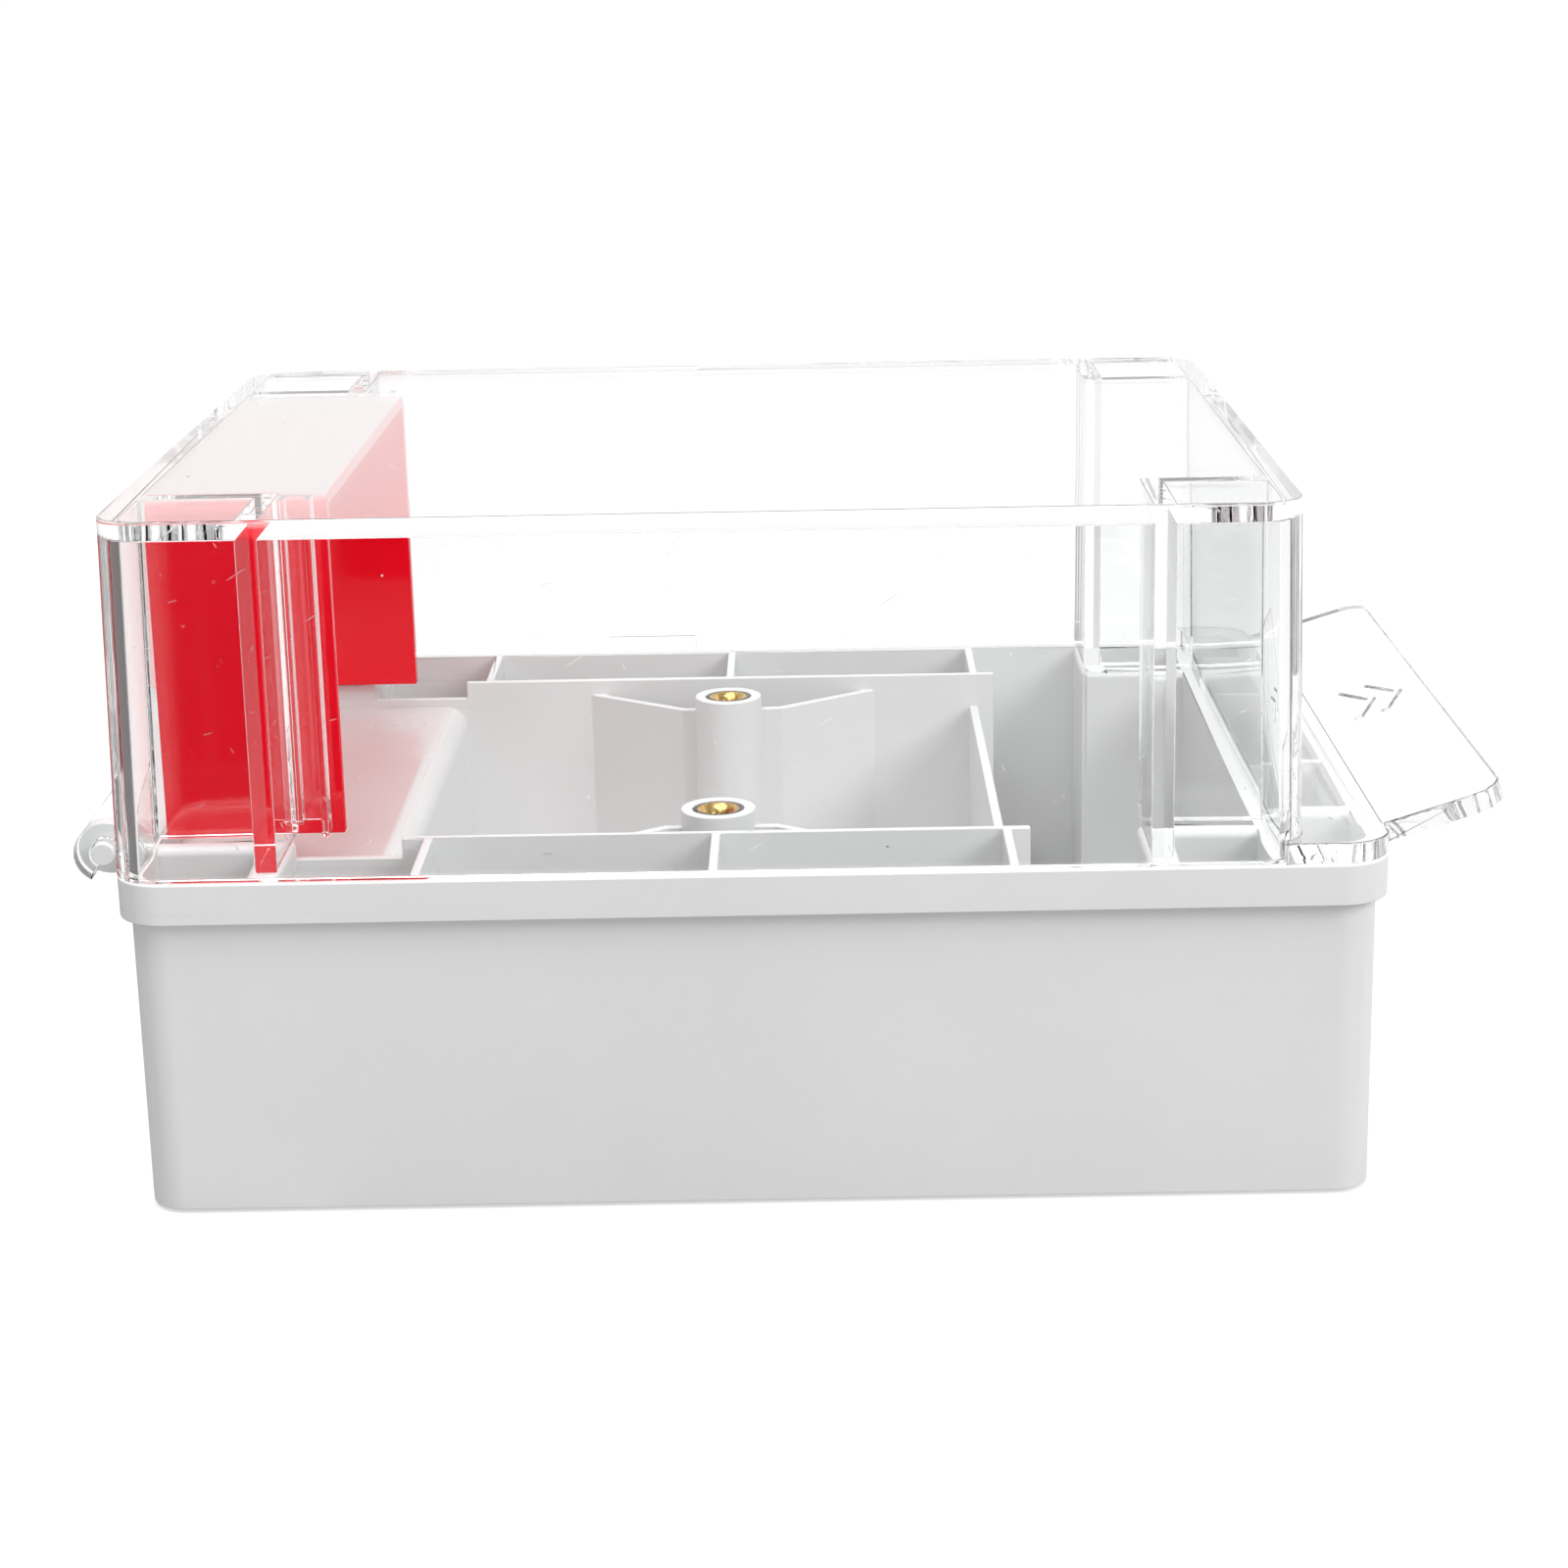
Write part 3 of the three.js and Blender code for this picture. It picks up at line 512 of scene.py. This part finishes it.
def turned_mesh(name, centre, profile, sides, mesh_material):
    """A closed (radius, height) profile in millimetres turned about the vertical line through centre."""
    mesh = bpy.data.meshes.new(name)
    points, faces = [], []
    count = len(profile)
    for step in range(sides):
        angle = math.tau * step / sides
        for radius, height in profile:
            x = centre[0] + radius * MM * math.cos(angle)
            y = centre[1] + radius * MM * math.sin(angle)
            points.append((x, y, centre[2] + height * MM))
    for step in range(sides):
        here, there = step * count, (step + 1) % sides * count
        for k in range(count):
            after = (k + 1) % count
            faces.append((here + k, there + k, there + after, here + after))
    mesh.from_pydata(points, [], faces)
    shape = bmesh.new()
    shape.from_mesh(mesh)
    bmesh.ops.remove_doubles(shape, verts=shape.verts, dist=COINCIDENT)
    bmesh.ops.recalc_face_normals(shape, faces=shape.faces)
    shape.to_mesh(mesh)
    shape.free()
    smooth_all(mesh)
    mesh.set_sharp_from_angle(angle=CURVE_ANGLE)
    mesh.materials.append(mesh_material)
    return mesh


# ---------------------------------------------------------------- threaded inserts

# Radii and heights in millimetres: a mouth that narrows in a cone to a throat, over a threaded bore.
INSERT = {"mouth": 4.3, "throat": 2.55, "cone": 1.7, "bore": 2.35, "sides": 72}
INSERT_EDGE = {"worn": 0.15, "turned": 0.1, "lip": 0.25, "lip_depth": 0.08}
THREAD = {"pitch": 0.8, "depth": 0.32, "from_bottom": 0.3, "short_of_top": 0.6}
COIL_STEPS = 40  # in one turn
COIL_SIDES = 8
BRASS_LOOK = {
    "stained": (0.5, 0.31, 0.09),
    "bright": (0.85, 0.6, 0.25),
    "dull_dark": (0.08, 0.075, 0.07),
    "dull_light": (0.3, 0.28, 0.25),
    "shade": (0.11, 0.06, 0.02),
    "shade_strength": 0.85,
    "shade_from": 0.9 * MM,
    "shade_to": 2.6 * MM,
    "rim_edge": 0.1,
    "roughness": (0.22, 0.6),
    "relief": 0.03 * MM,
}


def coil_group():
    """Geometry nodes: a helix swept with a round section, for a screw thread."""
    lengths = dict.fromkeys(("Radius", "Turns", "Length", "Section"), "NodeSocketFloat")
    group, given = geometry_group("thread_coil", {**lengths, "Place": "NodeSocketVector"})
    helix_inputs = {
        "Resolution": COIL_STEPS,
        "Rotations": given["Turns"],
        "Start Radius": given["Radius"],
        "End Radius": given["Radius"],
        "Height": given["Length"],
    }
    helix = add(group, "GeometryNodeCurveSpiral", helix_inputs)
    circle_inputs = {"Resolution": COIL_SIDES, "Radius": given["Section"]}
    section = add(group, "GeometryNodeCurvePrimitiveCircle", circle_inputs)
    sweep_inputs = {
        "Curve": helix.outputs["Curve"],
        "Profile Curve": section.outputs["Curve"],
        "Fill Caps": True,
    }
    sweep = add(group, "GeometryNodeCurveToMesh", sweep_inputs)
    smooth_inputs = {"Geometry": sweep.outputs["Mesh"], "Shade Smooth": True}
    smooth = add(group, "GeometryNodeSetShadeSmooth", smooth_inputs)
    place_inputs = {"Geometry": smooth.outputs[0], "Translation": given["Place"]}
    placed = add(group, "GeometryNodeTransform", place_inputs)
    return end_group(group, given, placed.outputs[0])


def insert_brass():
    """Turned brass. The outer rim that meets the boss is dull and dark, the cone is bright,
    and the bore is painted darker towards the bottom as painted shade."""
    made, tree, shader, place = material("insert_brass")
    look = BRASS_LOOK
    axes = add(tree, "ShaderNodeSeparateXYZ", {"Vector": place})
    low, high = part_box("brass_insert_rear")
    reach = plan_distance(tree, axes, (low[0] + high[0]) / 2, (low[1] + high[1]) / 2)
    inner, outer = INSERT["mouth"] - look["rim_edge"], INSERT["mouth"] + look["rim_edge"]
    rim = between(tree, reach, inner * MM, outer * MM)
    stain = noise(tree, place, 1500.0, 4.0, 0.6)
    bright = mixed(tree, spread(tree, stain), look["stained"], look["bright"])
    dull = mixed(tree, between(tree, stain, 0.35, 0.65), look["dull_dark"], look["dull_light"])
    # painted shade: the bore's colour darkens towards the bottom, where shade falls inside the hole
    shade_bottom, shade_top = high[2] - look["shade_to"], high[2] - look["shade_from"]
    deep = between(tree, axes.outputs["Z"], shade_bottom, shade_top, look["shade_strength"], 0.0)
    shaded = mixed(tree, deep, bright, look["shade"])
    tree.links.new(mixed(tree, rim, shaded, dull), shader.inputs["Base Color"])
    shader.inputs["Metallic"].default_value = 1.0
    tree.links.new(between(tree, rim, 0.0, 1.0, *look["roughness"]), shader.inputs["Roughness"])
    bumped(tree, shader, stain, look["relief"], 0.5)
    return made


def insert_profile(outer, deep):
    """The section of an insert's sleeve, from the top's outer edge, down the bore and up the outside."""
    mouth, throat, cone, bore = INSERT["mouth"], INSERT["throat"], INSERT["cone"], INSERT["bore"]
    edge = INSERT_EDGE
    return [
        (outer - edge["worn"], 0.0),
        (mouth, 0.0),
        (mouth - edge["lip"], -edge["lip_depth"]),
        (throat + 0.5, -cone * 0.55),
        (throat, -cone),
        (bore, -cone - 0.3),
        (bore, -deep),
        (outer - edge["turned"], -deep),
        (outer, -deep + edge["turned"]),
        (outer, -edge["worn"]),
    ]


def threaded_insert(side, brass, coil):
    """A brass sleeve pressed into a boss, with its thread as a coil in the bore."""
    low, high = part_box(f"brass_insert_{side}")
    centre = ((low[0] + high[0]) / 2, (low[1] + high[1]) / 2, high[2])
    outer = (high[0] - low[0]) / 2 / MM
    deep = (high[2] - low[2]) / MM
    name = f"threaded_insert_{side}"
    sleeve = in_scene(name, turned_mesh(name, centre, insert_profile(outer, deep), INSERT["sides"], brass))
    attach(sleeve, "base")
    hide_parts(f"brass_insert_{side}")
    length = deep - INSERT["cone"]
    values = {
        "Radius": INSERT["bore"] * MM,
        "Turns": length / THREAD["pitch"],
        "Length": (length - THREAD["short_of_top"]) * MM,
        "Section": THREAD["depth"] / 2 * MM,
        "Place": (centre[0], centre[1], centre[2] - (deep - THREAD["from_bottom"]) * MM),
        "Material": brass,
    }
    generated(coil, f"insert_thread_{side}", "base", values)


COIL = coil_group()
INSERT_BRASS = insert_brass()
for side in SIDES:
    threaded_insert(side, INSERT_BRASS, COIL)


# ---------------------------------------------------------------- cover screws

# Millimetres: radii of the head and shank, the head's height, and the cross recess.
SCREW = {"head": 2.7, "dome": 1.35, "shank": 0.95, "point": 1.2, "sides": 40}
RECESS = {"depth": 0.75, "width": 0.7, "length": 3.0}
SCREW_NODES = [f"cover_screw_{number}" for number in range(1, 5)]


def screw_profile(tall):
    """The section of a pan-head screw that stands on its head."""
    head, dome, shank = SCREW["head"], SCREW["dome"], SCREW["shank"]
    return [
        (0.0, 0.0),
        (head * 0.6, 0.05),
        (head * 0.88, 0.3),
        (head, 0.75),
        (head, dome),
        (shank + 0.25, dome + 0.02),
        (shank, dome + 0.3),
        (shank, tall - SCREW["point"]),
        (0.0, tall),
    ]


def cut_cross(piece):
    """A cross recess cut into the underside of a screw head at the origin."""
    cutter = in_scene("cross", bpy.data.meshes.new("cross"))
    shape = bmesh.new()
    half = RECESS["width"] / 2 * MM
    long = RECESS["length"] / 2 * MM
    for x, y in ((half, long), (long, half)):
        made = bmesh.ops.create_cube(shape, size=2.0)
        for vert in made["verts"]:
            vert.co = Vector((vert.co.x * x, vert.co.y * y, vert.co.z * RECESS["depth"] * MM))
    shape.to_mesh(cutter.data)
    shape.free()
    cut = piece.modifiers.new("cross recess", "BOOLEAN")
    cut.operation = "DIFFERENCE"
    cut.use_self = True
    cut.object = cutter
    mesh = evaluated_mesh(piece)
    piece.modifiers.clear()
    piece.data = mesh
    bpy.data.objects.remove(cutter)


def screw_set_group():
    """Geometry nodes: one screw repeated at the corners of a rectangle."""
    sockets = {
        "Length": "NodeSocketFloat",
        "Width": "NodeSocketFloat",
        "Place": "NodeSocketVector",
        "Screw": "NodeSocketObject",
    }
    group, given = geometry_group("screw_set", sockets)
    grid_inputs = {"Size X": given["Length"], "Size Y": given["Width"], "Vertices X": 2, "Vertices Y": 2}
    corners = add(group, "GeometryNodeMeshGrid", grid_inputs)
    place_inputs = {"Geometry": corners.outputs["Mesh"], "Translation": given["Place"]}
    placed = add(group, "GeometryNodeTransform", place_inputs)
    screw = add(group, "GeometryNodeObjectInfo", {"Object": given["Screw"]})
    copy_inputs = {"Points": placed.outputs[0], "Instance": screw.outputs["Geometry"]}
    copies = add(group, "GeometryNodeInstanceOnPoints", copy_inputs)
    return end_group(group, given, copies.outputs[0])


def cover_screws():
    """Four pan-head screws under the bay cover, heads down."""
    boxes = [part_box(node) for node in SCREW_NODES]
    xs = sorted((low[0] + high[0]) / 2 for low, high in boxes)
    ys = sorted((low[1] + high[1]) / 2 for low, high in boxes)
    bottom, top = boxes[0][0][2], boxes[0][1][2]
    profile = screw_profile((top - bottom) / MM)
    screw = in_scene("one_screw", turned_mesh("one_screw", (0, 0, 0), profile, SCREW["sides"], STEEL))
    cut_cross(screw)
    values = {
        "Length": xs[-1] - xs[0],
        "Width": ys[-1] - ys[0],
        "Place": ((xs[0] + xs[-1]) / 2, (ys[0] + ys[-1]) / 2, bottom),
        "Screw": screw,
        "Material": STEEL,
    }
    screws = generated(screw_set_group(), "cover_screws", "base", values)
    bpy.data.objects.remove(screw)
    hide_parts(*SCREW_NODES)


cover_screws()


# ---------------------------------------------------------------- studio

FLOOR = {
    "size": 6.0,
    "glow": 0.55,
    "dark": (0.5, 0.5, 0.5),
    "light": (0.52, 0.52, 0.52),
    "for_diffuse": (0.37, 0.37, 0.37, 1),
    "mirrored": (0.03, 0.03, 0.03, 1),
}
LEFTWARD = {"from": CAD_BOX[0][0] - 0.1, "to": CAD_BOX[1][0], "strengths": (0.85, 0.15)}
BACKDROP = {"y": 1.6, "width": 6.0, "bottom": -0.1, "height": 3.0, "strength": 1.04}
WORLD_STRENGTH = {"lit": 0.5, "seen": 1.0}
LAMP_TARGET = (0, 0, 0.05)
LAMPS = {
    "key": {"place": (1.1, -0.9, 0.95), "size": 0.7, "power": 12},
    "top": {"place": (-0.25, -0.25, 1.5), "size": 1.2, "power": 14},
    "front": {"place": (-0.2, -1.7, 0.95), "size": 1.0, "power": 2},
}
CAMERA = {
    "place": (0.00688, -0.6715, 0.25496),
    "down": 15.815,
    "roll": -1.0,
    "lens": 71.69,
    "sensor": 36,
    "shift": (-0.0211, -0.0105),
    "sees_to": 20,
}
MOST_BOUNCES = 24  # light turns many times inside the clear walls before it leaves


def floor():
    """A plain pale floor. Rays mirrored once off the tank find it dark in front and towards the left,
    so that the red sheet stays deep and the clear edges show."""
    mesh = bpy.data.meshes.new("floor")
    half = FLOOR["size"] / 2
    corners = [(-half, -half, 0), (half, -half, 0), (half, half, 0), (-half, half, 0)]
    mesh.from_pydata(corners, [], [(0, 1, 2, 3)])
    slab = in_scene("floor", mesh)
    made, tree, shader, place = material("floor")
    tone = mixed(tree, spread(tree, noise(tree, place, 3.0)), FLOOR["dark"], FLOOR["light"])
    tree.links.new(tone, shader.inputs["Base Color"])
    shader.inputs["Roughness"].default_value = 0.7
    shader.inputs["Emission Color"].default_value = (1, 1, 1, 1)
    shader.inputs["Emission Strength"].default_value = FLOOR["glow"]
    dim = add(tree, "ShaderNodeBsdfDiffuse", {"Color": FLOOR["mirrored"]})
    held = add(tree, "ShaderNodeBsdfDiffuse", {"Color": FLOOR["for_diffuse"]})
    rays = add(tree, "ShaderNodeLightPath").outputs
    once = math_node(tree, "COMPARE", rays["Glossy Depth"], 1.0, 0.5)
    spot = add(tree, "ShaderNodeSeparateXYZ", {"Vector": place})
    in_front = math_node(tree, "LESS_THAN", spot.outputs["Y"], CAD_BOX[0][1])
    leftward = between(tree, spot.outputs["X"], LEFTWARD["from"], LEFTWARD["to"], *LEFTWARD["strengths"])
    mirrored = math_node(tree, "MULTIPLY", once, math_node(tree, "MAXIMUM", in_front, leftward))
    soft_inputs = {0: rays["Is Diffuse Ray"], 1: shader.outputs[0], 2: held.outputs[0]}
    soft = add(tree, "ShaderNodeMixShader", soft_inputs)
    blend = add(tree, "ShaderNodeMixShader", {0: mirrored, 1: soft.outputs[0], 2: dim.outputs[0]})
    tree.links.new(blend.outputs[0], tree.nodes["Material Output"].inputs["Surface"])
    mesh.materials.append(made)


def backdrop():
    """A lit white sheet behind the table."""
    mesh = bpy.data.meshes.new("backdrop")
    half, y = BACKDROP["width"] / 2, BACKDROP["y"]
    bottom, top = BACKDROP["bottom"], BACKDROP["height"]
    corners = [(-half, y, bottom), (half, y, bottom), (half, y, top), (-half, y, top)]
    mesh.from_pydata(corners, [], [(0, 1, 2, 3)])
    sheet = in_scene("backdrop", mesh)
    made = bpy.data.materials.new("backdrop")
    made.use_nodes = True
    tree = made.node_tree
    tree.nodes.remove(tree.nodes["Principled BSDF"])
    glow = add(tree, "ShaderNodeEmission", {"Color": (1, 1, 1, 1), "Strength": BACKDROP["strength"]})
    tree.links.new(glow.outputs[0], tree.nodes["Material Output"].inputs["Surface"])
    mesh.materials.append(made)


def world():
    """Soft light from all round. It is white where it is seen directly or straight through the lid."""
    made = bpy.data.worlds.new("studio")
    bpy.context.scene.world = made
    made.use_nodes = True
    tree = made.node_tree
    background = tree.nodes["Background"]
    background.inputs["Color"].default_value = (1, 1, 1, 1)
    rays = add(tree, "ShaderNodeLightPath").outputs
    straight = math_node(tree, "LESS_THAN", rays["Glossy Depth"], 0.5)
    through = math_node(tree, "MULTIPLY", rays["Is Transmission Ray"], straight)
    seen = math_node(tree, "MAXIMUM", rays["Is Camera Ray"], through)
    strength = between(tree, seen, 0.0, 1.0, WORLD_STRENGTH["lit"], WORLD_STRENGTH["seen"])
    tree.links.new(strength, background.inputs["Strength"])


def lamp(name, place, size, power):
    """A square soft light that points at the tank."""
    data = bpy.data.lights.new(name, "AREA")
    data.shape = "SQUARE"
    data.size = size
    data.energy = power
    light = in_scene(name, data)
    light.location = place
    towards = Vector(LAMP_TARGET) - Vector(place)
    light.rotation_euler = towards.to_track_quat("-Z", "Y").to_euler()


def camera():
    """The camera, turned down from the level and a little about its own axis."""
    data = bpy.data.cameras.new("camera")
    data.lens = CAMERA["lens"]
    data.sensor_width = CAMERA["sensor"]
    data.shift_x, data.shift_y = CAMERA["shift"]
    data.clip_end = CAMERA["sees_to"]
    eye = in_scene("camera", data)
    down, roll = math.radians(CAMERA["down"]), math.radians(CAMERA["roll"])
    ahead = Vector((0, math.cos(down), -math.sin(down)))
    right = Vector((1, 0, 0))
    up = right.cross(ahead)
    turned_right = right * math.cos(roll) + up * math.sin(roll)
    turned_up = up * math.cos(roll) - right * math.sin(roll)
    turn = Matrix((turned_right, turned_up, -ahead)).transposed().to_4x4()
    eye.matrix_world = Matrix.Translation(CAMERA["place"]) @ turn
    bpy.context.scene.camera = eye


floor()
backdrop()
world()
for name, settings in LAMPS.items():
    lamp(name, **settings)
camera()
scene = bpy.context.scene
scene.view_settings.view_transform = "Standard"
scene.cycles.max_bounces = MOST_BOUNCES
scene.cycles.transmission_bounces = MOST_BOUNCES
scene.cycles.glossy_bounces = MOST_BOUNCES
scene.cycles.transparent_max_bounces = MOST_BOUNCES
